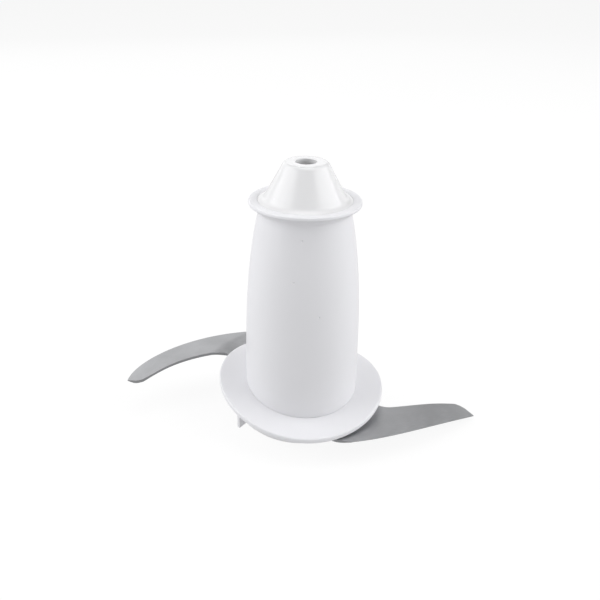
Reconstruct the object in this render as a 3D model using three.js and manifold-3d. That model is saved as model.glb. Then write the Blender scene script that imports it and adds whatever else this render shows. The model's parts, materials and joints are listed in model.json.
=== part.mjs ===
// Chopping-blade insert of a food processor: a tall plastic hub that drops over the drive column in
// the middle of the bowl, with two curved steel blades held under a slanted flange.
// Millimetres, +Z up. The origin is on the turning axis, on the face that the insert stands on.
import * as THREE from 'three';
import { mergeVertices } from 'three/addons/utils/BufferGeometryUtils.js';
import Module from 'manifold-3d';

const wasm = await Module();
wasm.setup();

// ---- Driving dimensions ----
const GAP = 0.3; // left between every two pieces that touch
const ROUND_STEPS = 64; // flats round the big turned shapes
const FINE_STEPS = 40; // flats round the small turned shapes
const SHEET_STEPS = 90; // flats round the pressed blade sheets

const SLEEVE_RADIUS = 26.2; // outside of the hub where it meets the flange
const SLEEVE_NARROWING = 5.9; // how much smaller that radius is at the neck
const SLEEVE_CURVE = 3.2; // power of the narrowing: the wall stays nearly straight low down
const SLEEVE_WALL = 2.2;
const NECK_HEIGHT = 107.5; // where the wall turns out into the collar
const COLLAR_RADIUS = 24.5;
const COLLAR_HEIGHT = 111.5; // middle of the collar's rim

const CONE_FOOT_RADIUS = 18.3;
const CONE_TOP_RADIUS = 9.5;
const CONE_FOOT_HEIGHT = 114.2;
const CONE_TOP_HEIGHT = 129.0;
const CONE_WALL = 2.0;
const TOP_BORE_RADIUS = 4.6;

const FLANGE_RADIUS = 39.0;
const FLANGE_THICKNESS = 2.3;
const FLANGE_HEIGHT = 21.1; // top face on the turning axis
const FLANGE_SLOPE_X = -0.071; // rise of the slanted flange for each millimetre along X
const FLANGE_SLOPE_Y = 0.107; // and along Y
const FLANGE_WARP = 2.0; // how far the rim lifts at the sides and drops at front and back
const FIN_THICKNESS = 1.8;
const FIN_ANGLE = 222.3; // degrees round from +X, with a second fin opposite
const FIN_OUTER_RADIUS = 38.2;
const FIN_INNER_RADIUS = 30.6;
const FIN_LOW_HEIGHT = 11.2;

const CARRIER_RADIUS = 30;
const CARRIER_BORE = 18.8;
const CARRIER_FOOT = 4.0;
const BASE_RING_RADIUS = 22;

const CORE_RADIUS = 18.4; // outside of the tube that centres the hub on the column, at its foot
const CORE_TOP_RADIUS = 15.0;
const CORE_WALL = 1.8;
const CORE_TAPER = 24; // height where the tube starts to narrow
const CORE_TOP = 84;
const SOCKET_RADIUS = 9.0;
const SOCKET_TOP = 103;
const SOCKET_LENGTH = 24;
const HEX_WIDTH = 10; // across the flats of the drive hole
const RIB_THICKNESS = 1.6;
const RIB_FOOT = 30;
const RIB_TOP = 80;

const SHEET = 1.4; // thickness of the blade steel
const ROOT_RADIUS = 19.2; // inner end of the blade roots
const ROOT_FROM = -75; // the roots are sectors, in degrees from each blade's own X axis
const ROOT_TO = 0;
const LOWER_ROOT_TOP = 12.1;
const LOWER_DROOP = 0.0049; // the blades droop with the square of the distance past a radius
const LOWER_DROOP_FROM = 40;
const UPPER_ROOT_TOP = 20.1;
const UPPER_CRANK = 5.3; // the sheet rises by this much as it passes the flange's rim
const CRANK_FROM = 32;
const CRANK_TO = 49;
const UPPER_DROOP = 0.0048;
const UPPER_DROOP_FROM = 46;
const RIVET_CIRCLE = 21.7;
const RIVET_RADIUS = 1.3;
const RIVET_HEAD_RADIUS = 2.0;
const RIVET_HEAD = 1.0;

// ---- Materials ----
function plastic(color, roughness) {
  return new THREE.MeshStandardMaterial({ color, roughness, metalness: 0 });
}

function steel(color, roughness) {
  return new THREE.MeshStandardMaterial({ color, roughness, metalness: 1 });
}

const satinWhite = () => plastic(0xf1f1f3, 0.42);
const glossWhite = () => plastic(0xf6f6f8, 0.22);
const mutedWhite = () => plastic(0xe4e4e6, 0.55);
const drivePlastic = () => plastic(0xb9bcc0, 0.5);
const bladeSteel = () => steel(0xa9abae, 0.38);
const rivetSteel = () => steel(0xc4c6c9, 0.3);

// ---- Helpers ----
function toSolid(geometry) {
  const bare = geometry.index ? geometry.toNonIndexed() : geometry.clone();
  bare.deleteAttribute('normal');
  bare.deleteAttribute('uv');
  const merged = mergeVertices(bare, 1e-4);
  return new wasm.Manifold(new wasm.Mesh({
    numProp: 3,
    vertProperties: Float32Array.from(merged.attributes.position.array),
    triVerts: Uint32Array.from(merged.index.array),
  }));
}

function toMesh(name, solid, material) {
  const { vertProperties, triVerts } = solid.getMesh();
  const geometry = new THREE.BufferGeometry();
  geometry.setAttribute('position', new THREE.BufferAttribute(Float32Array.from(vertProperties), 3));
  geometry.setIndex(Array.from(triVerts));
  geometry.computeVertexNormals();
  const mesh = new THREE.Mesh(geometry, material);
  mesh.name = name;
  return mesh;
}

// A closed outline of [radius, height] points, turned round Z.
function turned(outline, steps) {
  const points = [...outline, outline[0]].map(([radius, height]) => new THREE.Vector2(radius, height));
  return toSolid(new THREE.LatheGeometry(points, steps).rotateX(Math.PI / 2));
}

// A flat shape in the XY plane, raised from one height to another.
function raised(shape, from, to, curveSegments = 16) {
  const geometry = new THREE.ExtrudeGeometry(shape, { depth: to - from, bevelEnabled: false, curveSegments });
  return toSolid(geometry.translate(0, 0, from));
}

function disc(radius, from, to, x = 0, y = 0, steps = 24) {
  const shape = new THREE.Shape().absarc(x, y, radius, 0, 2 * Math.PI, false);
  return raised(shape, from, to, steps);
}

function polar(radius, degrees) {
  const angle = THREE.MathUtils.degToRad(degrees);
  return [radius * Math.cos(angle), radius * Math.sin(angle)];
}

function smoothStep(value) {
  const t = THREE.MathUtils.clamp(value, 0, 1);
  return t * t * (3 - 2 * t);
}

function span(from, to, steps) {
  return Array.from({ length: steps + 1 }, (_, i) => from + ((to - from) * i) / steps);
}

// ---- The slanted surface that the flange, the sleeve's foot and the carrier's top share ----
function slant(x, y) {
  const warp = (FLANGE_WARP * (x * x - y * y)) / (FLANGE_RADIUS * FLANGE_RADIUS);
  return FLANGE_SLOPE_X * x + FLANGE_SLOPE_Y * y + warp;
}

function bendToSlant(geometry, follows = () => true) {
  const place = geometry.attributes.position;
  for (let i = 0; i < place.count; i += 1) {
    if (follows(place.getZ(i))) {
      place.setZ(i, place.getZ(i) + slant(place.getX(i), place.getY(i)));
    }
  }
  return geometry;
}

// Everything above (or below) the slanted surface at the given height on the axis.
function slantedBlock(height, farEnd) {
  const rings = span(0, 46, 8);
  const near = rings.map((radius) => [radius, height]);
  const outline = [...near, [46, farEnd], [0, farEnd]];
  if (farEnd < height) outline.reverse();
  const points = outline.map(([radius, z]) => new THREE.Vector2(radius, z));
  const geometry = new THREE.LatheGeometry(points, ROUND_STEPS).rotateX(Math.PI / 2);
  bendToSlant(geometry, (z) => Math.abs(z - height) < 1e-3);
  return toSolid(geometry);
}

// ---- Hub ----
function sleeveRadius(height) {
  const rise = THREE.MathUtils.clamp((height - FLANGE_HEIGHT) / (NECK_HEIGHT - FLANGE_HEIGHT), 0, 1);
  return SLEEVE_RADIUS - SLEEVE_NARROWING * rise ** SLEEVE_CURVE;
}

function hubSleeve() {
  const outside = [12, ...span(40, NECK_HEIGHT, 8)].map((height) => [sleeveRadius(height), height]);
  const inside = [NECK_HEIGHT, 96, 80, 60, 12].map((height) => [sleeveRadius(height) - SLEEVE_WALL, height]);
  const collar = [
    [21.3, NECK_HEIGHT + 1.5], [23.2, NECK_HEIGHT + 2.7], [COLLAR_RADIUS - 0.4, COLLAR_HEIGHT - 0.8],
    [COLLAR_RADIUS, COLLAR_HEIGHT], [COLLAR_RADIUS - 0.4, COLLAR_HEIGHT + 0.8],
    [COLLAR_RADIUS - 1.3, COLLAR_HEIGHT + 1.1], [COLLAR_RADIUS - 3.2, COLLAR_HEIGHT + 0.7],
    [CONE_FOOT_RADIUS + GAP, COLLAR_HEIGHT + 0.9], [CONE_FOOT_RADIUS + GAP, COLLAR_HEIGHT - 1.4],
    [CONE_FOOT_RADIUS - 1.2, COLLAR_HEIGHT - 1.4],
  ];
  const tube = turned([...outside, ...collar, ...inside], ROUND_STEPS);
  return tube.subtract(slantedBlock(FLANGE_HEIGHT + GAP, -20));
}

function coneCap() {
  const foot = COLLAR_HEIGHT - 1.4 + GAP;
  const skirtFoot = foot - 6;
  const outline = [
    [CONE_FOOT_RADIUS, foot], [CONE_FOOT_RADIUS, CONE_FOOT_HEIGHT],
    [CONE_TOP_RADIUS + 0.4, CONE_TOP_HEIGHT - 0.8], [CONE_TOP_RADIUS - 0.5, CONE_TOP_HEIGHT],
    [TOP_BORE_RADIUS + 0.3, CONE_TOP_HEIGHT], [TOP_BORE_RADIUS, CONE_TOP_HEIGHT - 0.4],
    [TOP_BORE_RADIUS, CONE_TOP_HEIGHT - 3], [TOP_BORE_RADIUS + 3.2, CONE_TOP_HEIGHT - 3],
    [CONE_FOOT_RADIUS - CONE_WALL - 2.2, CONE_FOOT_HEIGHT], [CONE_FOOT_RADIUS - CONE_WALL - 2.2, skirtFoot],
    [CONE_FOOT_RADIUS - 1.2 - GAP, skirtFoot], [CONE_FOOT_RADIUS - 1.2 - GAP, foot],
  ];
  return turned(outline, ROUND_STEPS);
}

// ---- Flange with its two fins and the pads that clamp the blade roots ----
function flangeUnderside(x, y) {
  return FLANGE_HEIGHT - FLANGE_THICKNESS + slant(x, y);
}

function fin(degrees) {
  const [x, y] = polar(1, degrees);
  const outerTop = flangeUnderside(x * FIN_OUTER_RADIUS, y * FIN_OUTER_RADIUS) + 1;
  const innerTop = flangeUnderside(x * FIN_INNER_RADIUS, y * FIN_INNER_RADIUS) + 1;
  const depth = flangeUnderside(...polar(FIN_OUTER_RADIUS, FIN_ANGLE)) - FIN_LOW_HEIGHT;
  const low = flangeUnderside(x * FIN_OUTER_RADIUS, y * FIN_OUTER_RADIUS) - depth;
  const side = new THREE.Shape([
    new THREE.Vector2(FIN_INNER_RADIUS, low + 2.2), new THREE.Vector2(FIN_OUTER_RADIUS, low),
    new THREE.Vector2(FIN_OUTER_RADIUS, outerTop), new THREE.Vector2(FIN_INNER_RADIUS, innerTop),
  ]);
  const geometry = new THREE.ExtrudeGeometry(side, { depth: FIN_THICKNESS, bevelEnabled: false });
  geometry.translate(0, 0, -FIN_THICKNESS / 2).rotateX(Math.PI / 2);
  return toSolid(geometry.rotateZ(THREE.MathUtils.degToRad(degrees)));
}

function slantedFlange() {
  const top = FLANGE_HEIGHT;
  const bottom = FLANGE_HEIGHT - FLANGE_THICKNESS;
  const radii = span(CARRIER_BORE, FLANGE_RADIUS - 0.7, 4);
  const outline = [
    ...radii.map((radius) => [radius, bottom]), [FLANGE_RADIUS, bottom + 0.8], [FLANGE_RADIUS, top - 0.8],
    ...radii.map((radius) => [radius, top]).reverse(),
  ];
  const points = [...outline, outline[0]].map(([radius, height]) => new THREE.Vector2(radius, height));
  const plate = toSolid(bendToSlant(new THREE.LatheGeometry(points, ROUND_STEPS).rotateX(Math.PI / 2)));
  let flange = plate.add(fin(FIN_ANGLE)).add(fin(FIN_ANGLE - 180));
  flange = flange.add(clampPad(LOWER_ROOT_TOP)).add(clampPad(UPPER_ROOT_TOP, 180));
  return drilled(flange, rivetPlaces());
}

function clampPad(rootTop, turn = 0) {
  const inner = CARRIER_BORE + GAP;
  const ring = turned([
    [inner, rootTop + GAP], [CARRIER_RADIUS, rootTop + GAP], [CARRIER_RADIUS, 30], [inner, 30],
  ], ROUND_STEPS);
  const pad = ring.intersect(raised(sector(ROOT_FROM, ROOT_TO), 0, 40)).rotate([0, 0, turn]);
  return pad.subtract(slantedBlock(FLANGE_HEIGHT - FLANGE_THICKNESS / 2, 50));
}

// ---- Blades ----
// Each blade is a pressed sheet. Its height depends only on the distance from the axis.
function lowerSheetTop(radius) {
  return LOWER_ROOT_TOP - LOWER_DROOP * Math.max(radius - LOWER_DROOP_FROM, 0) ** 2;
}

function upperSheetTop(radius) {
  const crank = UPPER_CRANK * smoothStep((radius - CRANK_FROM) / (CRANK_TO - CRANK_FROM));
  return UPPER_ROOT_TOP + crank - UPPER_DROOP * Math.max(radius - UPPER_DROOP_FROM, 0) ** 2;
}

function pressedSheet(sheetTop) {
  const radii = [ROOT_RADIUS - 1, ...span(CRANK_FROM, CRANK_TO, 6), ...span(53, 87, 6)];
  const outline = [
    ...radii.map((radius) => [radius, sheetTop(radius) - SHEET]),
    ...radii.map((radius) => [radius, sheetTop(radius)]).reverse(),
  ];
  return turned(outline, SHEET_STEPS);
}

// The root is a sector round the core, and the arm sweeps out of it to the tip. The convex edge is
// the sharpened one.
function bladeOutline({ heel, frontPulls, tip, tipCorner, spineStart, spinePulls, notch, notchTurn }) {
  const shape = new THREE.Shape();
  shape.moveTo(...polar(ROOT_RADIUS, ROOT_FROM));
  shape.lineTo(...polar(CARRIER_RADIUS, ROOT_FROM));
  shape.quadraticCurveTo(heel[0] - 9, heel[1] + 0.4, heel[0], heel[1]);
  shape.bezierCurveTo(...frontPulls, ...tip);
  shape.quadraticCurveTo(...tipCorner, ...spineStart);
  shape.bezierCurveTo(...spinePulls, ...notch);
  shape.quadraticCurveTo(...notchTurn, ...polar(CARRIER_RADIUS + 3, ROOT_TO - 6));
  shape.lineTo(...polar(CARRIER_RADIUS, ROOT_TO));
  shape.lineTo(...polar(ROOT_RADIUS, ROOT_TO));
  const from = THREE.MathUtils.degToRad(ROOT_TO);
  const to = THREE.MathUtils.degToRad(ROOT_FROM);
  shape.absarc(0, 0, ROOT_RADIUS, from, to, true);
  return shape;
}

const LOWER_OUTLINE = {
  heel: [23, -36],
  frontPulls: [44, -32, 70, -14.5],
  tip: [85.7, 1.5],
  tipCorner: [83, 6.5],
  spineStart: [76.4, 6],
  spinePulls: [68, 2.5, 54, -5.5],
  notch: [43, -7.8],
  notchTurn: [38, -8.4],
};

const UPPER_OUTLINE = {
  heel: [24, -40.9],
  frontPulls: [40, -40.1, 84.2, -25.2],
  tip: [84.1, -1],
  tipCorner: [80.2, 2.7],
  spineStart: [75.4, 1.7],
  spinePulls: [66.6, -5.6, 64.5, -10.6],
  notch: [38, -19.9],
  notchTurn: [34.5, -20.6],
};

function rivetPlaces() {
  const own = [-58, -17].map((degrees) => polar(RIVET_CIRCLE, degrees));
  return [...own, ...own.map(([x, y]) => [-x, -y])];
}

function blade(outline, sheetTop) {
  const sheet = pressedSheet(sheetTop).intersect(raised(bladeOutline(outline), 0, 40, 14));
  return drilled(sheet, rivetPlaces().slice(0, 2));
}

function drilled(solid, places) {
  const drill = ([x, y]) => disc(RIVET_RADIUS + GAP, 0, 40, x, y, 6);
  return places.reduce((left, place) => left.subtract(drill(place)), solid);
}

function rivet(x, y, headHeight) {
  const foot = CARRIER_FOOT + GAP;
  const top = headHeight + RIVET_HEAD;
  const outline = [
    [0, foot], [RIVET_HEAD_RADIUS, foot], [RIVET_HEAD_RADIUS, foot + RIVET_HEAD],
    [RIVET_RADIUS, foot + RIVET_HEAD], [RIVET_RADIUS, headHeight], [RIVET_HEAD_RADIUS, headHeight],
    [RIVET_HEAD_RADIUS - 0.5, top - 0.2], [0, top],
  ];
  const points = outline.map(([radius, height]) => new THREE.Vector2(radius, height));
  const geometry = new THREE.LatheGeometry(points, 16).rotateX(Math.PI / 2);
  return toSolid(geometry.translate(x, y, 0));
}

// ---- Carrier under the flange ----
function sector(from, to) {
  const shape = new THREE.Shape();
  shape.moveTo(0, 0);
  for (const degrees of [from, (from + to) / 2, to]) {
    shape.lineTo(...polar(2 * CARRIER_RADIUS, degrees));
  }
  return shape;
}

function bladeCarrier() {
  const rings = span(CARRIER_BORE, CARRIER_RADIUS, 3).reverse();
  let carrier = turned([
    [CARRIER_BORE, CARRIER_FOOT], [CARRIER_RADIUS - 3, CARRIER_FOOT], [CARRIER_RADIUS, CARRIER_FOOT + 3],
    ...rings.map((radius) => [radius, 30]),
  ], ROUND_STEPS);
  carrier = carrier.subtract(slantedBlock(FLANGE_HEIGHT - FLANGE_THICKNESS - GAP, 50));
  const seat = sector(ROOT_FROM - 1, ROOT_TO + 1);
  const lowerSeat = raised(seat, LOWER_ROOT_TOP - SHEET - GAP, 40);
  const upperSeat = raised(seat, UPPER_ROOT_TOP - SHEET - GAP, 40).rotate([0, 0, 180]);
  carrier = carrier.subtract(lowerSeat).subtract(upperSeat);
  for (const [x, y] of rivetPlaces()) {
    const sinkTop = CARRIER_FOOT + RIVET_HEAD + 2 * GAP;
    carrier = carrier.subtract(disc(RIVET_HEAD_RADIUS + GAP, 0, sinkTop, x, y, 8));
  }
  return drilled(carrier, rivetPlaces());
}

function baseRing() {
  const top = CARRIER_FOOT - GAP;
  return turned([
    [CARRIER_BORE, 0.4], [CARRIER_BORE + 0.4, 0], [BASE_RING_RADIUS - 0.6, 0], [BASE_RING_RADIUS, 0.6],
    [BASE_RING_RADIUS, top - 1.2], [BASE_RING_RADIUS + 2.6, top], [CARRIER_BORE, top],
  ], ROUND_STEPS);
}

// ---- Inside the hub ----
function coreTube() {
  const foot = 1.0;
  const socketFoot = SOCKET_TOP - SOCKET_LENGTH;
  let tube = turned([
    [CORE_RADIUS - CORE_WALL, foot], [CORE_RADIUS, foot],
    [CORE_RADIUS, CORE_TAPER], [CORE_TOP_RADIUS, CORE_TOP],
    [SOCKET_RADIUS + GAP + 2, CORE_TOP + 3], [SOCKET_RADIUS + GAP + 2, SOCKET_TOP - 2],
    [SOCKET_RADIUS + GAP, SOCKET_TOP - 2], [SOCKET_RADIUS + GAP, socketFoot - GAP],
    [CORE_TOP_RADIUS - CORE_WALL, socketFoot - GAP], [CORE_RADIUS - CORE_WALL, CORE_TAPER],
  ], FINE_STEPS);
  for (const degrees of [45, 135, 225, 315]) {
    tube = tube.add(coreRib(degrees));
  }
  return tube;
}

// A rib that spaces the tube from the sleeve. Its outer edge follows the sleeve's inner wall.
function coreRib(degrees) {
  const edge = (height) => new THREE.Vector2(sleeveRadius(height) - SLEEVE_WALL - 2 * GAP, height);
  const side = new THREE.Shape([
    new THREE.Vector2(CORE_RADIUS - 1, RIB_FOOT), ...span(RIB_FOOT, RIB_TOP, 4).map(edge),
    new THREE.Vector2(CORE_TOP_RADIUS - 0.6, RIB_TOP),
  ]);
  const geometry = new THREE.ExtrudeGeometry(side, { depth: RIB_THICKNESS, bevelEnabled: false });
  geometry.translate(0, 0, -RIB_THICKNESS / 2).rotateX(Math.PI / 2);
  return toSolid(geometry.rotateZ(THREE.MathUtils.degToRad(degrees)));
}

function driveSocket() {
  const socketFoot = SOCKET_TOP - SOCKET_LENGTH;
  const body = turned([
    [2, socketFoot], [SOCKET_RADIUS, socketFoot], [SOCKET_RADIUS, SOCKET_TOP], [2, SOCKET_TOP],
  ], FINE_STEPS);
  const corner = (degrees) => new THREE.Vector2(...polar(HEX_WIDTH / Math.sqrt(3), degrees));
  const hexagon = new THREE.Shape([0, 60, 120, 180, 240, 300].map(corner));
  return body.subtract(raised(hexagon, socketFoot - 1, SOCKET_TOP + 1));
}

// ---- Assembly ----
const bladeInsert = new THREE.Group();
bladeInsert.add(toMesh('hub_sleeve', hubSleeve(), satinWhite()));
bladeInsert.add(toMesh('cone_cap', coneCap(), glossWhite()));
bladeInsert.add(toMesh('slanted_flange', slantedFlange(), satinWhite()));
bladeInsert.add(toMesh('blade_carrier', bladeCarrier(), mutedWhite()));
bladeInsert.add(toMesh('base_ring', baseRing(), mutedWhite()));
bladeInsert.add(toMesh('core_tube', coreTube(), mutedWhite()));
bladeInsert.add(toMesh('drive_socket', driveSocket(), drivePlastic()));

const lowerBlade = toMesh('lower_blade', blade(LOWER_OUTLINE, lowerSheetTop), bladeSteel());
const upperBlade = toMesh('upper_blade', blade(UPPER_OUTLINE, upperSheetTop), bladeSteel());
upperBlade.rotation.z = Math.PI;
bladeInsert.add(lowerBlade, upperBlade);

rivetPlaces().forEach(([x, y], index) => {
  const headHeight = FLANGE_HEIGHT + slant(x, y) + 2 * GAP;
  bladeInsert.add(toMesh(`blade_rivet_${index + 1}`, rivet(x, y, headHeight), rivetSteel()));
});

export default bladeInsert;
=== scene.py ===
"""Fine surfaces, finishes and studio of a chopping-blade insert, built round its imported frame.

The insert is a tall plastic hub with a conical cap, a slanted flange and two curved steel blades.
Shapes are worked out in millimetres and scaled to metres as each piece is finished. The row frame is
the insert's own: Z is the turning axis, the blades span X, and the insert stands on Z = 0.
"""
import json
import logging
import math
from dataclasses import dataclass, field
from enum import Enum
from typing import Callable, Sequence

import bmesh
import bpy
from bmesh.types import BMesh
from mathutils import Matrix, Vector

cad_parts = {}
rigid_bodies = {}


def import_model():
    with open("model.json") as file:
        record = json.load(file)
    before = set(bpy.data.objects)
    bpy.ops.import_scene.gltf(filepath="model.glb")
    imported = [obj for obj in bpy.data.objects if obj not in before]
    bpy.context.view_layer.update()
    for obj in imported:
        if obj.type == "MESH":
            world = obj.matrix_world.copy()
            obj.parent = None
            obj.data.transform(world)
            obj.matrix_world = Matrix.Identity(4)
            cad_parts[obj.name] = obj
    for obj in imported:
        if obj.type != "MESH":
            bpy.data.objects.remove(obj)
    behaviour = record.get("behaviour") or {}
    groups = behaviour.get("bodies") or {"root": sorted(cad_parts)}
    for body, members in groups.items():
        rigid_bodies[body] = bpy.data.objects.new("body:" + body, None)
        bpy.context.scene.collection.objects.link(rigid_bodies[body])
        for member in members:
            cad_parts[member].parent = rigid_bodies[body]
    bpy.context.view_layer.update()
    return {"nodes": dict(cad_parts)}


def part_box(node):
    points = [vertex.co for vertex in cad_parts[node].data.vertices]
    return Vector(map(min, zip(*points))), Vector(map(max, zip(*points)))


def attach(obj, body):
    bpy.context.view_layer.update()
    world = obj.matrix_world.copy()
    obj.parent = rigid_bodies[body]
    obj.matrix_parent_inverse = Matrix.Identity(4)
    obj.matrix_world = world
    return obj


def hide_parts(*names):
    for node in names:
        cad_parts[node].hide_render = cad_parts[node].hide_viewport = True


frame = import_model()

MM = 0.001
SEAM = 0.06  # joint line left between two visible pieces
LOG = logging.getLogger("insert")

Point = tuple[float, float]


class Slot(Enum):
    """The record's material slots."""

    HUB = "hub_plastic"
    CAP = "cap_plastic"
    CARRIER = "carrier_plastic"
    CORE = "core_plastic"
    DRIVE = "drive_plastic"
    BLADE = "blade_steel"
    RIVET = "rivet_steel"


class Side(Enum):
    """Which way a blade points: its turn about Z in degrees."""

    LOWER = 0
    UPPER = 180


class Change(Enum):
    """What other solids do to a solid."""

    ADD = "UNION"
    CUT = "DIFFERENCE"


# ---- Shared geometry ----
def smooth_step(value: float) -> float:
    """Eased 0 to 1 ramp of a value that is clamped to that range."""
    t = min(max(value, 0.0), 1.0)
    return t * t * (3 - 2 * t)


def span(low: float, high: float, steps: int) -> list[float]:
    """Evenly spaced values from low to high, both included."""
    return [low + (high - low) * i / steps for i in range(steps + 1)]


def polar(radius: float, degrees: float) -> Vector:
    """Point in plan at a radius and an angle from X."""
    angle = math.radians(degrees)
    return Vector((radius * math.cos(angle), radius * math.sin(angle)))


def bezier(points: Sequence[Vector], t: float) -> Vector:
    """Point on a Bezier curve of any degree.

    Args:
        points: The curve's control points.
        t: How far along the curve, from 0 to 1.

    Returns:
        The point on the curve.
    """
    level = list(points)
    while len(level) > 1:
        level = [a.lerp(b, t) for a, b in zip(level, level[1:])]
    return level[0]


@dataclass(frozen=True)
class Slant:
    """The slanted, slightly saddle-shaped surface that the flange follows."""

    slope_x: float = -0.071
    slope_y: float = 0.107
    warp: float = 2.0
    radius: float = 39.0

    def rise(self, x: float, y: float) -> float:
        """Height of the surface at a place in plan, above its height on the axis."""
        saddle = self.warp * (x * x - y * y) / self.radius**2
        return self.slope_x * x + self.slope_y * y + saddle


@dataclass(frozen=True)
class Corner:
    """A corner of a turned outline, and how far its rounding reaches along each side."""

    radius: float
    height: float
    reach: float = 0.0


def rounded(corners: Sequence[Corner], steps: int = 5) -> list[Point]:
    """Points of a closed outline with its corners rounded.

    Args:
        corners: The outline's corners in order.
        steps: Steps round each rounded corner.

    Returns:
        The outline as (radius, height) points.
    """
    places = [Vector((c.radius, c.height)) for c in corners]
    points: list[Point] = []
    for i, corner in enumerate(corners):
        here, before, after = places[i], places[i - 1], places[(i + 1) % len(places)]
        if corner.reach == 0:
            points.append(tuple(here))
            continue
        start = here + (before - here).normalized() * corner.reach
        end = here + (after - here).normalized() * corner.reach
        points += [tuple(bezier((start, here, end), t)) for t in span(0, 1, steps)]
    return points


def turned(points: Sequence[Point], steps: int = 192, closed: bool = True) -> BMesh:
    """A solid of revolution about Z.

    Args:
        points: The outline as (radius, height) points.
        steps: Flats round the solid.
        closed: Whether the outline joins up. An open one starts and ends on the axis.

    Returns:
        The solid, in millimetres.
    """
    bm = bmesh.new()
    verts = [bm.verts.new((radius, 0, height)) for radius, height in points]
    ends = verts[1:] + verts[:1] if closed else verts[1:]
    edges = [bm.edges.new(pair) for pair in zip(verts, ends)]
    bmesh.ops.spin(
        bm, geom=verts + edges, cent=(0, 0, 0), axis=(0, 0, 1), angle=math.tau, steps=steps, use_merge=True
    )
    bmesh.ops.remove_doubles(bm, verts=bm.verts, dist=0.001)
    bmesh.ops.recalc_face_normals(bm, faces=bm.faces)
    return bm


def reshape(bm: BMesh, move: Callable[[Vector], Vector]) -> BMesh:
    """Moves every vertex to where the given function says."""
    for vert in bm.verts:
        vert.co = move(vert.co)
    return bm


def soften(bm: BMesh, width: float, segments: int = 2, sharper_than: float = 35) -> BMesh:
    """Bevels the sharp edges of a solid.

    Args:
        bm: The solid, in millimetres.
        width: Width of the bevel.
        segments: Faces across it.
        sharper_than: Least angle between two faces whose edge is bevelled, in degrees.

    Returns:
        The same solid.
    """
    least = math.radians(sharper_than)
    sharp = [e for e in bm.edges if e.is_manifold and e.calc_face_angle() > least]
    bmesh.ops.bevel(
        bm, geom=sharp, offset=width, offset_type="OFFSET", segments=segments, affect="EDGES",
        profile=0.5, material=-1, clamp_overlap=True
    )
    return bm


def softened_node(node: str, width: float) -> BMesh:
    """A CAD node's solid with its doubles merged and its edges softened.

    Args:
        node: The node's name.
        width: Width of the bevel on its sharp edges.

    Returns:
        The solid, in millimetres.
    """
    bm = bmesh.new()
    bm.from_mesh(frame["nodes"][node].data)
    bmesh.ops.scale(bm, vec=(1 / MM, 1 / MM, 1 / MM), verts=bm.verts)
    bmesh.ops.remove_doubles(bm, verts=bm.verts, dist=0.002)
    bmesh.ops.dissolve_limit(bm, angle_limit=math.radians(0.5), verts=bm.verts, edges=bm.edges)
    return soften(bm, width)


def as_mesh(bm: BMesh, name: str) -> bpy.types.Mesh:
    """Turns a solid in millimetres into a mesh in metres, and frees it."""
    bmesh.ops.scale(bm, vec=(MM, MM, MM), verts=bm.verts)
    mesh = bpy.data.meshes.new(name)
    bm.to_mesh(mesh)
    bm.free()
    return mesh


def combined(solid: BMesh, parts: Sequence[BMesh], change: Change = Change.ADD) -> BMesh:
    """Adds solids to a solid, or cuts them out of it, as one closed skin.

    Args:
        solid: The main solid, in millimetres. It is freed.
        parts: Solids that reach into it. They are freed.
        change: Whether they are added or cut out.

    Returns:
        The changed solid, in millimetres.
    """
    scene = bpy.context.scene.collection.objects
    main = bpy.data.objects.new("main_solid", as_mesh(solid, "main_solid"))
    others = [bpy.data.objects.new("other_solid", as_mesh(bm, "other_solid")) for bm in parts]
    for item in [main, *others]:
        scene.link(item)
    for other in others:
        boolean = main.modifiers.new("change", "BOOLEAN")
        boolean.operation = change.value
        boolean.solver = "EXACT"
        boolean.object = other
    graph = bpy.context.evaluated_depsgraph_get()
    changed = bmesh.new()
    changed.from_object(main, graph)
    for item in [main, *others]:
        mesh = item.data
        bpy.data.objects.remove(item)
        bpy.data.meshes.remove(mesh)
    bmesh.ops.scale(changed, vec=(1 / MM, 1 / MM, 1 / MM), verts=changed.verts)
    return changed


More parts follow.
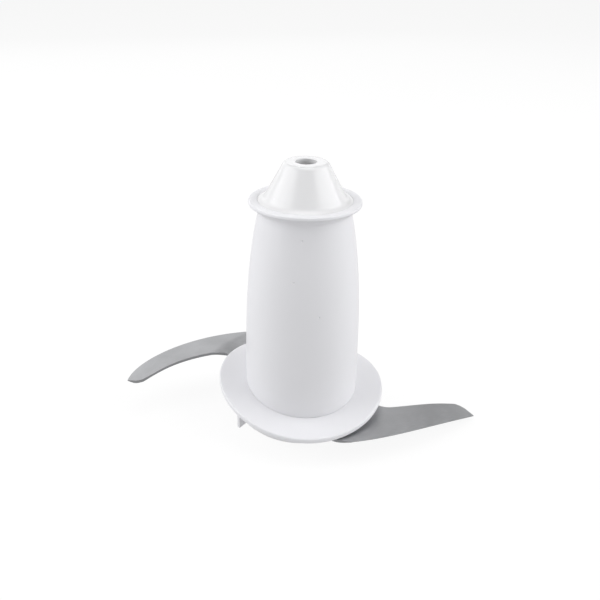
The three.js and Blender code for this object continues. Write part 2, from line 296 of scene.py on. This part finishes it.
# ---- Finishes ----
class NodeBench:
    """Adds and links shader nodes on one material."""

    def __init__(self, name: str) -> None:
        """Makes the material with an empty node tree but for its shader and output.

        Args:
            name: The material's name.
        """
        self.material = bpy.data.materials.new(name)
        self.material.use_nodes = True
        self.tree = self.material.node_tree
        self.shader = self.tree.nodes["Principled BSDF"]

    def add(self, kind: str, links: dict[str, bpy.types.NodeSocket] | None = None, **values: object):
        """Adds a node.

        Args:
            kind: The node's type name.
            links: Input names and the sockets that feed them.
            values: Input values by name, with _ for a space, and properties in lower case.

        Returns:
            The new node.
        """
        node = self.tree.nodes.new(kind)
        for name, value in values.items():
            if name[0].islower():
                setattr(node, name, value)
            else:
                node.inputs[name.replace("_", " ")].default_value = value
        for name, socket in (links or {}).items():
            self.tree.links.new(socket, node.inputs[name])
        return node

    def feed(self, name: str, socket: bpy.types.NodeSocket) -> None:
        """Links a socket to one of the shader's inputs."""
        self.tree.links.new(socket, self.shader.inputs[name])

    def set(self, name: str, value: object) -> None:
        """Sets one of the shader's inputs."""
        self.shader.inputs[name].default_value = value

    def spread(self, source: bpy.types.NodeSocket, low: float, high: float) -> bpy.types.NodeSocket:
        """Maps a 0 to 1 pattern, which mostly lies near its middle, to a range of values."""
        ranged = self.add(
            "ShaderNodeMapRange", {"Value": source}, From_Min=0.3, From_Max=0.7, To_Min=low, To_Max=high
        )
        return ranged.outputs["Result"]

    def between(
        self,
        share: bpy.types.NodeSocket,
        first: bpy.types.NodeSocket | Sequence[float],
        second: Sequence[float],
    ) -> bpy.types.NodeSocket:
        """Mixes two colours by a share.

        Args:
            share: How much of the second colour there is, from 0 to 1.
            first: A colour, or the socket that gives it.
            second: The other colour.

        Returns:
            The mixed colour's socket.
        """
        mix = self.add("ShaderNodeMix", data_type="RGBA")
        low, high = (socket for socket in mix.inputs if socket.type == "RGBA")
        if isinstance(first, bpy.types.NodeSocket):
            self.tree.links.new(first, low)
        else:
            low.default_value = (*first, 1)
        high.default_value = (*second, 1)
        self.tree.links.new(share, mix.inputs["Factor"])
        return next(out for out in mix.outputs if out.type == "RGBA")


@dataclass(frozen=True)
class MouldedPlastic:
    """Opaque moulded plastic with a faint skin texture and slight unevenness of tone and gloss."""

    name: str
    tone: tuple[float, float, float]
    shade: float = 0.965  # how dark the darker patches are against the tone
    gloss: float = 0.34
    gloss_spread: float = 0.06
    grain: float = 0.05  # strength of the skin texture
    grain_size: float = 0.35
    patch_scale: float = 38.0  # patches of tone per metre
    flow_scale: float = 150.0  # patches of gloss per metre
    coat: float = 0.0
    coat_gloss: float = 0.12

    def material(self) -> bpy.types.Material:
        """Builds the material."""
        bench = NodeBench(self.name)
        place = bench.add("ShaderNodeTexCoord").outputs["Object"]
        patches = bench.add("ShaderNodeTexNoise", {"Vector": place}, Scale=self.patch_scale, Detail=3.0)
        flow = bench.add(
            "ShaderNodeTexNoise", {"Vector": place}, Scale=self.flow_scale, Detail=4.0, Roughness=0.6
        )
        grain_scale = 1 / (self.grain_size * MM)
        skin = bench.add("ShaderNodeTexNoise", {"Vector": place}, Scale=grain_scale, Detail=2.0)
        darker = tuple(channel * self.shade for channel in self.tone)
        bench.feed("Base Color", bench.between(patches.outputs["Fac"], darker, self.tone))
        low, high = self.gloss - self.gloss_spread, self.gloss + self.gloss_spread
        bench.feed("Roughness", bench.spread(flow.outputs["Fac"], low, high))
        bump = bench.add(
            "ShaderNodeBump", {"Height": skin.outputs["Fac"]}, Strength=self.grain, Distance=0.1 * MM
        )
        bench.feed("Normal", bump.outputs["Normal"])
        bench.set("IOR", 1.49)
        bench.set("Coat Weight", self.coat)
        bench.set("Coat Roughness", self.coat_gloss)
        return bench.material


@dataclass(frozen=True)
class GroundSteel:
    """Stainless sheet with fine grinding lines along the blade, and painted shade on its cut edges."""

    name: str
    tone: tuple[float, float, float]
    gloss: float = 0.46
    gloss_spread: float = 0.07
    shade: float = 0.8  # how dark the worn patches are against the tone
    cloud_scale: float = 60.0  # worn patches per metre
    line_depth: float = 0.12  # strength of the grinding lines
    line_width: float = 0.3
    line_length: float = 5.0
    line_map: str | None = None  # UV map that the lines follow, or None for the object's X
    painted_shade_map: str | None = None  # attribute that is 1 on the sheet's cut edges, whose tone gets a painted shade
    # how dark the painted shade on the cut edges is against the tone
    edge_painted_shade: float = 0.6

    def material(self) -> bpy.types.Material:
        """Builds the material."""
        bench = NodeBench(self.name)
        if self.line_map:
            place = bench.add("ShaderNodeUVMap", uv_map=self.line_map).outputs["UV"]
        else:
            place = bench.add("ShaderNodeTexCoord").outputs["Object"]
        along, across = 1 / (self.line_length * MM), 1 / (self.line_width * MM)
        stretch = bench.add("ShaderNodeMapping", {"Vector": place}, Scale=(along, across, across))
        lines = bench.add("ShaderNodeTexNoise", {"Vector": stretch.outputs["Vector"]}, Scale=1.0, Detail=2.0)
        solid_place = bench.add("ShaderNodeTexCoord").outputs["Object"]
        clouds = bench.add(
            "ShaderNodeTexNoise", {"Vector": solid_place}, Scale=self.cloud_scale, Detail=3.0
        )
        worn = bench.add(
            "ShaderNodeMath", {0: lines.outputs["Fac"], 1: clouds.outputs["Fac"]}, operation="MULTIPLY"
        )
        share = bench.add("ShaderNodeMapRange", {"Value": worn.outputs[0]}, From_Min=0.12, From_Max=0.4)
        darker = tuple(channel * self.shade for channel in self.tone)
        ground = bench.between(share.outputs["Result"], darker, self.tone)
        # Painted shade: the cut edges' faces are darkened in colour to stand in for the shade that makes the
        # steel's thin side look dark.
        if self.painted_shade_map:
            edge = bench.add("ShaderNodeAttribute", attribute_name=self.painted_shade_map)
            cut = tuple(channel * self.edge_painted_shade for channel in self.tone)
            ground = bench.between(edge.outputs["Fac"], ground, cut)
        bench.feed("Base Color", ground)
        low, high = self.gloss - self.gloss_spread, self.gloss + self.gloss_spread
        bench.feed("Roughness", bench.spread(lines.outputs["Fac"], low, high))
        bump = bench.add(
            "ShaderNodeBump", {"Height": lines.outputs["Fac"]},
            Strength=self.line_depth, Distance=0.02 * MM
        )
        bench.feed("Normal", bump.outputs["Normal"])
        bench.set("Metallic", 1.0)
        return bench.material


# ---- Pieces ----
@dataclass
class Piece:
    """A finished object that stands for CAD nodes."""

    name: str
    slot: Slot
    replaces: tuple[str, ...]
    sharp: float = 32  # edges sharper than this many degrees stay crisp

    def finish(self, bm: BMesh, material: bpy.types.Material) -> bpy.types.Object:
        """Makes the object from its solid, and rides it on the frame.

        Args:
            bm: The solid, in millimetres. It is freed.
            material: The piece's finish.

        Returns:
            The object.
        """
        mesh = as_mesh(bm, self.name)
        mesh.shade_smooth()
        mesh.set_sharp_from_angle(angle=math.radians(self.sharp))
        mesh.materials.append(material)
        made = bpy.data.objects.new(self.name, mesh)
        bpy.context.scene.collection.objects.link(made)
        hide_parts(*self.replaces)
        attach(made, "root")
        LOG.info("%s: %d faces", self.name, len(mesh.polygons))
        return made


@dataclass
class Hub:
    """The waisted sleeve with its collar, and the conical cap on top."""

    slant: Slant
    foot_height: float = 21.1
    foot_radius: float = 26.2
    narrowing: float = 5.9
    curve: float = 3.2
    wall: float = 2.2
    neck_height: float = 107.5
    collar_radius: float = 24.5
    collar_height: float = 111.5
    straight_above: float = 45.0  # the foot's slant has faded out here
    cone_foot_radius: float = 18.3
    cone_top_radius: float = 9.5
    cone_top_height: float = 129.0
    lip_radius: float = 20.7  # where the cap's flare ends on the collar
    bore_radius: float = 4.6
    seat_radius: float = 17.1  # the sleeve's opening that the cap's skirt drops into
    cap_joint: float = 110.4  # height where the skirt leaves the cone
    skirt_foot: float = 104.4
    skirt_wall: float = 2.7
    mark_depth: float = 0.25
    marks: tuple[tuple[float, float], ...] = ((-92.8, 101.5), (-74.2, 67.8), (-99.8, 83.5))

    def outer_radius(self, height: float) -> float:
        """Outer radius of the sleeve at a height."""
        rise = (height - self.foot_height) / (self.neck_height - self.foot_height)
        return self.foot_radius - self.narrowing * min(max(rise, 0.0), 1.0) ** self.curve

    def foot_bent(self, place: Vector) -> Vector:
        """Moves a point of the straight-footed sleeve so that its foot follows the slant."""
        fade = 1 - smooth_step((place.z - self.foot_height) / (self.straight_above - self.foot_height))
        return place + Vector((0, 0, self.slant.rise(place.x, place.y) * fade))

    def sleeve(self) -> BMesh:
        """The sleeve and its collar as one turned wall."""
        foot = self.foot_height + SEAM
        neck = self.outer_radius(self.neck_height)
        collar = self.collar_height
        outside = [Corner(self.outer_radius(h), h) for h in span(foot + 2, self.neck_height - 1, 56)]
        inside = [Corner(c.radius - self.wall, c.height) for c in reversed(outside)]
        rim = [
            Corner(neck + 0.1, self.neck_height + 0.6, 1.0), Corner(23.6, collar - 0.9, 0.9),
            Corner(self.collar_radius + 0.15, collar - 0.5, 0.5),
            Corner(self.collar_radius + 0.05, collar + 0.95, 0.55),
            Corner(self.collar_radius - 1.5, collar + 1.05, 1.0),
            Corner(self.lip_radius + SEAM, collar + 0.85, 0.08), Corner(self.lip_radius + SEAM, collar + 0.1),
            Corner(self.cone_foot_radius + 0.3, collar + 0.1),
            Corner(self.cone_foot_radius + 0.3, collar - 1.4),
            Corner(self.seat_radius, collar - 1.4),
            Corner(self.seat_radius, self.neck_height - 0.6, 0.8),
        ]
        first = Corner(self.foot_radius, foot, 0.12)
        last = Corner(self.foot_radius - self.wall, foot, 0.12)
        wall = turned(rounded([first, *outside, *rim, *inside, last]), steps=224)
        return reshape(wall, self.foot_bent)

    def mark(self, degrees: float, height: float) -> BMesh:
        """The solid that a small round gate dimple takes out of the sleeve."""
        bm = bmesh.new()
        bmesh.ops.create_cone(
            bm, cap_ends=True, segments=24, radius1=0.3, radius2=0.6, depth=2 * self.mark_depth,
            matrix=Matrix.Rotation(math.pi / 2, 4, "Y")
        )
        place = polar(self.outer_radius(height), degrees)
        turn = Matrix.Rotation(math.radians(degrees), 4, "Z")
        bmesh.ops.transform(bm, matrix=Matrix.Translation((*place, height)) @ turn, verts=bm.verts)
        return bm

    def cap(self) -> BMesh:
        """The cone with its bore, a flare that runs out onto the collar and a skirt inside it."""
        collar, lip = self.collar_height, self.lip_radius
        skirt = self.cone_foot_radius - 1.5
        top, bore = self.cone_top_height, self.bore_radius
        return turned(rounded([
            Corner(self.cone_foot_radius, self.cap_joint),
            Corner(self.cone_foot_radius, collar + 0.1 + SEAM),
            Corner(lip, collar + 0.1 + SEAM), Corner(lip, collar + 0.85, 0.08),
            Corner(self.cone_foot_radius + 0.1, collar + 1.05, 1.9),
            Corner(self.cone_top_radius + 0.15, top - 0.35, 1.1),
            Corner(self.cone_top_radius - 1.0, top, 0.5),
            Corner(bore, top, 0.35), Corner(bore, top - 3, 0.2), Corner(bore + 3.2, top - 3, 0.4),
            Corner(skirt - self.skirt_wall, 114.2, 0.5),
            Corner(skirt - self.skirt_wall, self.skirt_foot, 0.2),
            Corner(skirt, self.skirt_foot, 0.2), Corner(skirt, self.cap_joint),
        ]))

    def build(self, hub_finish: bpy.types.Material, cap_finish: bpy.types.Material) -> None:
        """Makes both pieces."""
        body = combined(self.sleeve(), [self.mark(*place) for place in self.marks], Change.CUT)
        Piece("hub_shell", Slot.HUB, ("hub_sleeve",)).finish(body, hub_finish)
        Piece("cap_shell", Slot.CAP, ("cone_cap",)).finish(self.cap(), cap_finish)


@dataclass
class Flange:
    """The slanted flange, its two fins and the pads that clamp the blade roots."""

    slant: Slant
    top_height: float = 21.1
    thickness: float = 2.3
    inner_radius: float = 18.8
    pad_radius: float = 30.0
    pad_feet: tuple[float, float] = (12.4, 20.4)
    root_angle: float = 75.0
    fin_angle: float = 222.3
    fin_thickness: float = 1.8
    fin_inner: float = 30.6
    fin_outer: float = 38.2
    fin_foot: float = 11.2
    fin_rise: float = 2.2  # how much higher the fin's inner end is
    fin_softness: float = 0.25

    def bent(self, place: Vector) -> Vector:
        """Lifts a point of the flat flange onto the slant."""
        return place + Vector((0, 0, self.slant.rise(place.x, place.y)))

    def plate(self) -> BMesh:
        """The round plate with its rounded rim."""
        top, bottom = self.top_height, self.top_height - self.thickness
        radii = span(self.inner_radius + 0.6, self.slant.radius - 1.2, 12)
        upper = [Corner(radius, top) for radius in reversed(radii)]
        lower = [Corner(radius, bottom) for radius in radii]
        rim, bore = self.slant.radius, self.inner_radius
        outline = rounded([
            Corner(bore, bottom), *lower, Corner(rim, bottom, 0.6), Corner(rim, top, 0.75),
            *upper, Corner(bore, top),
        ])
        return reshape(turned(outline, steps=224), self.bent)

    def pad(self, foot: float, turn: float) -> BMesh:
        """A sector under the plate that presses on a blade's root.

        Args:
            foot: Height of its lower face.
            turn: Turn of its blade about Z, in degrees.

        Returns:
            The sector, in millimetres.
        """
        high = self.top_height - self.thickness / 2
        bm = bmesh.new()
        corners = [(self.inner_radius + 0.3, foot), (self.pad_radius, foot),
                   (self.pad_radius, high), (self.inner_radius + 0.3, high)]
        face = bm.faces.new([bm.verts.new((radius, 0, height)) for radius, height in corners])
        turned_to = Matrix.Rotation(math.radians(turn), 3, "Z")
        bmesh.ops.rotate(bm, cent=(0, 0, 0), matrix=turned_to, verts=bm.verts)
        bmesh.ops.spin(
            bm, geom=[face, *face.edges, *face.verts], cent=(0, 0, 0), axis=(0, 0, 1),
            angle=-math.radians(self.root_angle), steps=24
        )
        bmesh.ops.remove_doubles(bm, verts=bm.verts, dist=0.001)
        bmesh.ops.recalc_face_normals(bm, faces=bm.faces)
        return reshape(bm, lambda place: self.bent(place) if place.z > high - 0.1 else place)

    def fin(self, degrees: float) -> BMesh:
        """A thin radial rib that hangs under the plate at the given angle."""
        outer = self.bent(Vector((*polar(self.fin_outer, degrees), self.top_height)))
        reference = self.bent(Vector((*polar(self.fin_outer, self.fin_angle), self.top_height)))
        drop = reference.z - self.fin_foot
        bm = bmesh.new()
        bmesh.ops.create_cube(bm, size=1.0)

        def placed(corner: Vector) -> Vector:
            radius = self.fin_outer if corner.x > 0 else self.fin_inner
            over = self.bent(Vector((*polar(radius, degrees), self.top_height)))
            foot = outer.z - drop + (0 if corner.x > 0 else self.fin_rise)
            height = over.z - self.thickness / 2 if corner.z > 0 else foot
            return Vector((radius, corner.y * self.fin_thickness, height))

        reshape(bm, placed)
        soften(bm, self.fin_softness)
        turn = Matrix.Rotation(math.radians(degrees), 3, "Z")
        bmesh.ops.rotate(bm, cent=(0, 0, 0), matrix=turn, verts=bm.verts)
        return bm

    def build(self, finish: bpy.types.Material) -> None:
        """Makes the piece."""
        pads = [self.pad(foot, side.value) for foot, side in zip(self.pad_feet, Side)]
        fins = [self.fin(self.fin_angle), self.fin(self.fin_angle - 180)]
        flange = combined(self.plate(), pads + fins)
        Piece("flange_plate", Slot.HUB, ("slanted_flange",)).finish(flange, finish)


@dataclass(frozen=True)
class BladePlan:
    """Outline of a blade in plan, pointing along X: the convex cutting edge and the blunt spine."""

    heel: Point
    front_pulls: tuple[Point, Point]
    tip: Point
    tip_corner: Point
    spine_start: Point
    spine_pulls: tuple[Point, Point]
    notch: Point
    notch_turn: Point


@dataclass
class Blade:
    """A pressed steel blade with a ground cutting edge and a root clamped under the flange."""

    name: str
    node: str
    side: Side
    plan: BladePlan
    root_top: float
    droop: float
    droop_from: float
    crank: float = 0.0
    crank_from: float = 32.0
    crank_to: float = 49.0
    thickness: float = 1.4
    edge_thickness: float = 0.22
    ground_width: float = 3.6
    root_inner: float = 19.2
    root_outer: float = 30.0
    root_angle: float = -75.0
    steps_along: int = 110
    steps_across: int = 24
    root_share: float = 0.08  # share of the steps along that the root takes
    neck_share: float = 0.22
    line_map: str = "along_blade"
    # attribute that marks the cut edges for their painted shade
    painted_shade_map: str = "painted_shade_edge"
    ease: float = 0.16  # share of the blade over which its end bows out to the tip
    ground_rows: float = 0.2  # share of the rows that lie on the ground edge
    spine_rows: float = 0.94  # share of the rows that lie short of the spine's chamfer
    spine_margin: float = 0.25
    spine_chamfer: float = 0.15
    grind_lead: float = 0.06  # how far before the heel the grind starts, as a share of the blade
    grind_run: float = 0.08  # how far it takes to reach its full depth
    pattern_length: float = 95.0  # length that the grinding lines' map gives the blade

    def sheet_top(self, radius: float) -> float:
        """Height of the upper face at a distance from the axis."""
        step = smooth_step((radius - self.crank_from) / (self.crank_to - self.crank_from))
        return self.root_top + self.crank * step - self.droop * max(radius - self.droop_from, 0) ** 2

    def upright_thickness(self, radius: float) -> float:
        """Thickness of the sheet measured straight down, which grows where the sheet is steep."""
        slope = (self.sheet_top(radius + 0.1) - self.sheet_top(radius - 0.1)) / 0.2
        return self.thickness * math.sqrt(1 + slope * slope)

    def front(self, t: float) -> Vector:
        """Cutting edge from the heel to the tip."""
        plan = self.plan
        return bezier([Vector(p) for p in (plan.heel, *plan.front_pulls, plan.tip)], t)

    def spine(self, t: float) -> Vector:
        """Blunt edge from the notch to the tip's corner."""
        plan = self.plan
        pulls = (plan.notch, *reversed(plan.spine_pulls), plan.spine_start)
        return bezier([Vector(p) for p in pulls], t)

    def across(self, v: float, width: float) -> float:
        """Distance from the cutting edge for a step across, with rows close to both edges."""
        ground = min(self.ground_width, 0.42 * width)
        ends = [
            (0.0, 0.0), (self.ground_rows, ground),
            (self.spine_rows, width - self.spine_margin), (1.0, width),
        ]
        for (low, start), (high, end) in zip(ends, ends[1:]):
            if v <= high:
                return start + (end - start) * (v - low) / (high - low)
        return width

    def in_plan(self, u: float, v: float) -> tuple[Vector, float, float]:
        """Where a grid point lies in plan.

        Args:
            u: Share of the way from the root to the tip.
            v: Share of the steps from the cutting edge to the spine.

        Returns:
            The place, its distance from the cutting edge, and the blade's width there.
        """
        angle = self.root_angle * (1 - v)
        if u < self.root_share:
            radius = self.root_inner + (self.root_outer - self.root_inner) * u / self.root_share
            width = math.radians(-self.root_angle) * radius
            return polar(radius, angle), v * width, width
        plan = self.plan
        if u < self.neck_share:
            t = (u - self.root_share) / (self.neck_share - self.root_share)
            heel, notch = Vector(plan.heel), Vector(plan.notch)
            start, end = polar(self.root_outer, self.root_angle), polar(self.root_outer, 0)
            low = bezier([start, heel + Vector((-9, 0.4)), heel], t)
            high = bezier([end, polar(self.root_outer + 3, -6), Vector(plan.notch_turn), notch], t)
            arc = polar(self.root_outer, angle) - start.lerp(end, v)
            bulge = arc * (1 - t) ** 2
        else:
            t = (u - self.neck_share) / (1 - self.neck_share)
            low, high = self.front(t), self.spine(t)
            tip, corner = Vector(plan.tip), Vector(plan.spine_start)
            bow = bezier([tip, Vector(plan.tip_corner), corner], v) - tip.lerp(corner, v)
            bulge = bow * smooth_step((t - 1 + self.ease) / self.ease)
        width = (high - low).length
        away = v + (self.across(v, width) / width - v) * self.edge_rows(u)
        return low.lerp(high, away) + bulge, away * width, width

    def edge_rows(self, u: float) -> float:
        """How fully the rows are gathered at the edges: not in the root, all the way past the heel."""
        return smooth_step((u - self.root_share) / (self.neck_share - self.root_share))

    def thinning(self, distance: float, u: float) -> float:
        """How much the ground edge takes off the underside at a distance from the cutting edge."""
        past_heel = smooth_step((u - self.neck_share + self.grind_lead) / self.grind_run)
        share = max(1 - distance / self.ground_width, 0)
        return (self.thickness - self.edge_thickness) * share * past_heel

    def solid(self) -> BMesh:
        """The blade as a grid that is thickened, and then carried to its place."""
        bm = bmesh.new()
        bmesh.ops.create_grid(bm, x_segments=self.steps_along, y_segments=self.steps_across, size=0.5)
        lines = bm.loops.layers.uv.new(self.line_map)
        bmesh.ops.solidify(bm, geom=bm.faces[:], thickness=1.0)
        middle = sum(vert.co.z for vert in bm.verts) / len(bm.verts)
        turn = Matrix.Rotation(math.radians(self.side.value), 3, "Z")
        lengths: dict[int, Point] = {}
        for index, vert in enumerate(bm.verts):
            vert.index = index
            u, v = vert.co.x + 0.5, vert.co.y + 0.5
            place, distance, width = self.in_plan(u, v)
            radius = place.length
            top = self.sheet_top(radius)
            below = vert.co.z < middle
            on_spine = width - distance < 0.01 and u > self.root_share
            chamfer = self.spine_chamfer if on_spine else 0.0
            bottom = top - self.upright_thickness(radius) + self.thinning(distance, u) + chamfer
            height = bottom if below else top - chamfer
            lengths[index] = (u * self.pattern_length * MM, distance * MM)
            vert.co = turn @ Vector((place.x, place.y, height))
        for face in bm.faces:
            for loop in face.loops:
                loop[lines].uv = lengths[loop.vert.index]
        bmesh.ops.recalc_face_normals(bm, faces=bm.faces)
        # the faces that stand on edge are marked for the finish's painted shade
        edges = bm.faces.layers.float.new(self.painted_shade_map)
        for face in bm.faces:
            face[edges] = 1.0 if abs(face.normal.z) < 0.5 else 0.0
        return bm

    def build(self, finish: bpy.types.Material) -> None:
        """Makes the piece."""
        Piece(self.name, Slot.BLADE, (self.node,), sharp=24).finish(self.solid(), finish)


@dataclass
class Underside:
    """The carrier and the base ring below the flange, and the tube and the drive socket inside."""

    edge: float = 0.35

    def build(self, finishes: dict[Slot, bpy.types.Material]) -> None:
        """Makes the four pieces.

        Args:
            finishes: The finish of each slot.
        """
        for node, slot in (
            ("blade_carrier", Slot.CARRIER), ("base_ring", Slot.CARRIER),
            ("core_tube", Slot.CORE), ("drive_socket", Slot.DRIVE),
        ):
            Piece(f"{node}_shell", slot, (node,)).finish(softened_node(node, self.edge), finishes[slot])


@dataclass
class Rivets:
    """The four rivets through the blade roots, with domed heads."""

    radius: float = 1.3
    head_radius: float = 2.0
    head: float = 1.0  # thickness of each head

    def rivet(self, node: str) -> BMesh:
        """One rivet in the place of a CAD node."""
        low, high = (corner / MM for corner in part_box(node))
        middle = (low + high) / 2
        under, over = low.z + self.head, high.z - self.head
        outline = rounded([
            Corner(0, low.z), Corner(self.head_radius, low.z, 0.5), Corner(self.head_radius, under, 0.2),
            Corner(self.radius, under), Corner(self.radius, over),
            Corner(self.head_radius, over, 0.2), Corner(self.head_radius, high.z, 0.7),
            Corner(0, high.z),
        ])
        bm = turned(outline, steps=40, closed=False)
        bmesh.ops.translate(bm, vec=(middle.x, middle.y, 0), verts=bm.verts)
        return bm

    def build(self, finish: bpy.types.Material) -> None:
        """Makes the four pieces."""
        for node in sorted(name for name in frame["nodes"] if name.startswith("blade_rivet")):
            Piece(f"{node}_turned", Slot.RIVET, (node,)).finish(self.rivet(node), finish)


# ---- Studio ----
@dataclass(frozen=True)
class Softbox:
    """A large soft light that faces the middle of the insert."""

    name: str
    azimuth: float  # degrees round from +X
    elevation: float
    distance: float
    size: Point  # width and height, in metres
    power: float

    def place(self, aim: Vector) -> None:
        """Puts the light in the scene.

        Args:
            aim: The point it faces, in metres.
        """
        light = bpy.data.lights.new(self.name, "AREA")
        light.shape = "RECTANGLE"
        light.size, light.size_y = self.size
        light.energy = self.power
        made = bpy.data.objects.new(self.name, light)
        level = math.cos(math.radians(self.elevation))
        away = Vector((*(polar(1, self.azimuth) * level), math.sin(math.radians(self.elevation))))
        made.location = aim + away * self.distance
        made.rotation_euler = away.to_track_quat("Z", "Y").to_euler()
        bpy.context.scene.collection.objects.link(made)


@dataclass
class Studio:
    """Pale floor, soft lights and the camera."""

    aim: Vector = field(default_factory=lambda: Vector((-1.37, 0, 64.12)) * MM)
    distance: float = 0.35
    elevation: float = 25.95
    roll: float = 1.215
    lens: float = 45.92
    sky: float = 0.35
    horizon: float = 0.92
    horizon_start: float = 0.02  # sine of the elevation up to which only the horizon is seen
    horizon_fade: float = 0.3  # sine of the elevation above which only the sky is left
    floor_tone: float = 0.12
    floor_glow: float = 0.88  # what the camera sees: a plain white floor
    floor_bounce: float = 0.57  # what every other ray sees: a dimmer one, for darker undersides
    floor_size: float = 16.0
    floor_gap: float = 0.0002  # how far the floor lies below the insert's foot, in metres
    softboxes: tuple[Softbox, ...] = (
        Softbox("left_softbox", -174, 30, 1.2, (1.4, 1.0), 11.0),
        Softbox("right_softbox", -6, 30, 1.2, (1.4, 1.0), 11.0),
        Softbox("top_softbox", 90, 88, 1.3, (0.9, 0.9), 4.2),
        Softbox("back_softbox", 109, 25, 1.3, (1.5, 0.8), 2.6),
    )

    def camera(self) -> None:
        """Puts the camera in front of the insert, a little above it and slightly rolled."""
        up_angle, roll = math.radians(self.elevation), math.radians(self.roll)
        back = Vector((0, -math.cos(up_angle), math.sin(up_angle)))
        right = Vector((1, 0, 0))
        up = back.cross(right)
        level = Matrix((right, up, back)).transposed()
        turned_view = level @ Matrix.Rotation(roll, 3, "Z")
        lens = bpy.data.cameras.new("studio_camera")
        lens.lens = self.lens
        lens.sensor_width = 36
        lens.clip_start = 0.01
        lens.clip_end = 50
        made = bpy.data.objects.new("studio_camera", lens)
        made.matrix_world = Matrix.Translation(self.aim + back * self.distance) @ turned_view.to_4x4()
        bpy.context.scene.collection.objects.link(made)
        bpy.context.scene.camera = made

    def floor(self) -> None:
        """Lays the floor just under the insert."""
        bm = bmesh.new()
        bmesh.ops.create_grid(bm, x_segments=1, y_segments=1, size=self.floor_size / 2)
        bmesh.ops.translate(bm, vec=(0, 0, -self.floor_gap), verts=bm.verts)
        mesh = bpy.data.meshes.new("floor")
        bm.to_mesh(mesh)
        bm.free()
        bench = NodeBench("floor_white")
        bench.set("Base Color", (self.floor_tone, self.floor_tone, self.floor_tone, 1))
        bench.set("Roughness", 0.9)
        bench.set("Specular IOR Level", 0.0)
        bench.set("Emission Color", (1, 1, 1, 1))
        ray = bench.add("ShaderNodeLightPath")
        glow = bench.add(
            "ShaderNodeMapRange", {"Value": ray.outputs["Is Camera Ray"]},
            To_Min=self.floor_bounce, To_Max=self.floor_glow
        )
        bench.feed("Emission Strength", glow.outputs["Result"])
        mesh.materials.append(bench.material)
        made = bpy.data.objects.new("floor", mesh)
        bpy.context.scene.collection.objects.link(made)

    def world(self) -> None:
        """Fills the room with white light that is brighter near the horizon, where it meets the floor."""
        world = bpy.data.worlds.new("white_room")
        world.use_nodes = True
        nodes, links = world.node_tree.nodes, world.node_tree.links
        background = nodes["Background"]
        background.inputs["Color"].default_value = (1, 1, 1, 1)
        height = nodes.new("ShaderNodeSeparateXYZ")
        links.new(nodes.new("ShaderNodeTexCoord").outputs["Generated"], height.inputs["Vector"])
        fade = nodes.new("ShaderNodeMapRange")
        fade.interpolation_type = "SMOOTHSTEP"
        for name, value in {
            "From Min": self.horizon_start, "From Max": self.horizon_fade,
            "To Min": self.horizon, "To Max": self.sky,
        }.items():
            fade.inputs[name].default_value = value
        links.new(height.outputs["Z"], fade.inputs["Value"])
        links.new(fade.outputs["Result"], background.inputs["Strength"])
        bpy.context.scene.world = world

    def build(self) -> None:
        """Sets up the whole studio."""
        self.camera()
        self.floor()
        self.world()
        for softbox in self.softboxes:
            softbox.place(self.aim)
        bpy.context.scene.view_settings.view_transform = "Standard"


LOWER_PLAN = BladePlan(
    heel=(23, -36), front_pulls=((44, -32), (70, -14.5)), tip=(85.7, 1.5), tip_corner=(83, 6.5),
    spine_start=(76.4, 6), spine_pulls=((68, 2.5), (54, -5.5)), notch=(43, -7.8), notch_turn=(38, -8.4),
)
UPPER_PLAN = BladePlan(
    heel=(24, -40.9), front_pulls=((40, -40.1), (84.2, -25.2)), tip=(84.1, -1), tip_corner=(80.2, 2.7),
    spine_start=(75.4, 1.7), spine_pulls=((66.6, -5.6), (64.5, -10.6)), notch=(38, -19.9),
    notch_turn=(34.5, -20.6),
)


def finishes() -> dict[Slot, bpy.types.Material]:
    """Builds the finish of every slot."""
    white = (0.75, 0.75, 0.76)
    return {
        Slot.HUB: MouldedPlastic("satin_white_plastic", (0.765, 0.765, 0.79)).material(),
        Slot.CAP: MouldedPlastic("gloss_white_plastic", white, gloss=0.22, coat=0.1).material(),
        Slot.CARRIER: MouldedPlastic("matte_white_plastic", white, gloss=0.48).material(),
        Slot.CORE: MouldedPlastic("tube_white_plastic", (0.73, 0.73, 0.74), gloss=0.5).material(),
        Slot.DRIVE: MouldedPlastic("drive_grey_plastic", (0.42, 0.43, 0.45), gloss=0.45).material(),
        Slot.BLADE: GroundSteel(
            "ground_steel", (0.545, 0.55, 0.565), line_map="along_blade", painted_shade_map="painted_shade_edge"
        ).material(),
        Slot.RIVET: GroundSteel("rivet_steel", (0.66, 0.66, 0.67), gloss=0.3).material(),
    }


def main() -> None:
    """Builds the insert piece by piece, and then the studio."""
    logging.basicConfig(level=logging.INFO, format="%(name)s %(message)s")
    finish = finishes()
    slant = Slant()
    Hub(slant).build(finish[Slot.HUB], finish[Slot.CAP])
    Flange(slant).build(finish[Slot.HUB])
    Blade(
        "lower_blade_steel", "lower_blade", Side.LOWER, LOWER_PLAN,
        root_top=12.1, droop=0.0049, droop_from=40,
    ).build(finish[Slot.BLADE])
    Blade(
        "upper_blade_steel", "upper_blade", Side.UPPER, UPPER_PLAN,
        root_top=20.1, droop=0.0048, droop_from=46, crank=5.3,
    ).build(finish[Slot.BLADE])
    Underside().build(finish)
    Rivets().build(finish[Slot.RIVET])
    Studio().build()
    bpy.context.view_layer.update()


if __name__ == "__main__":
    main()
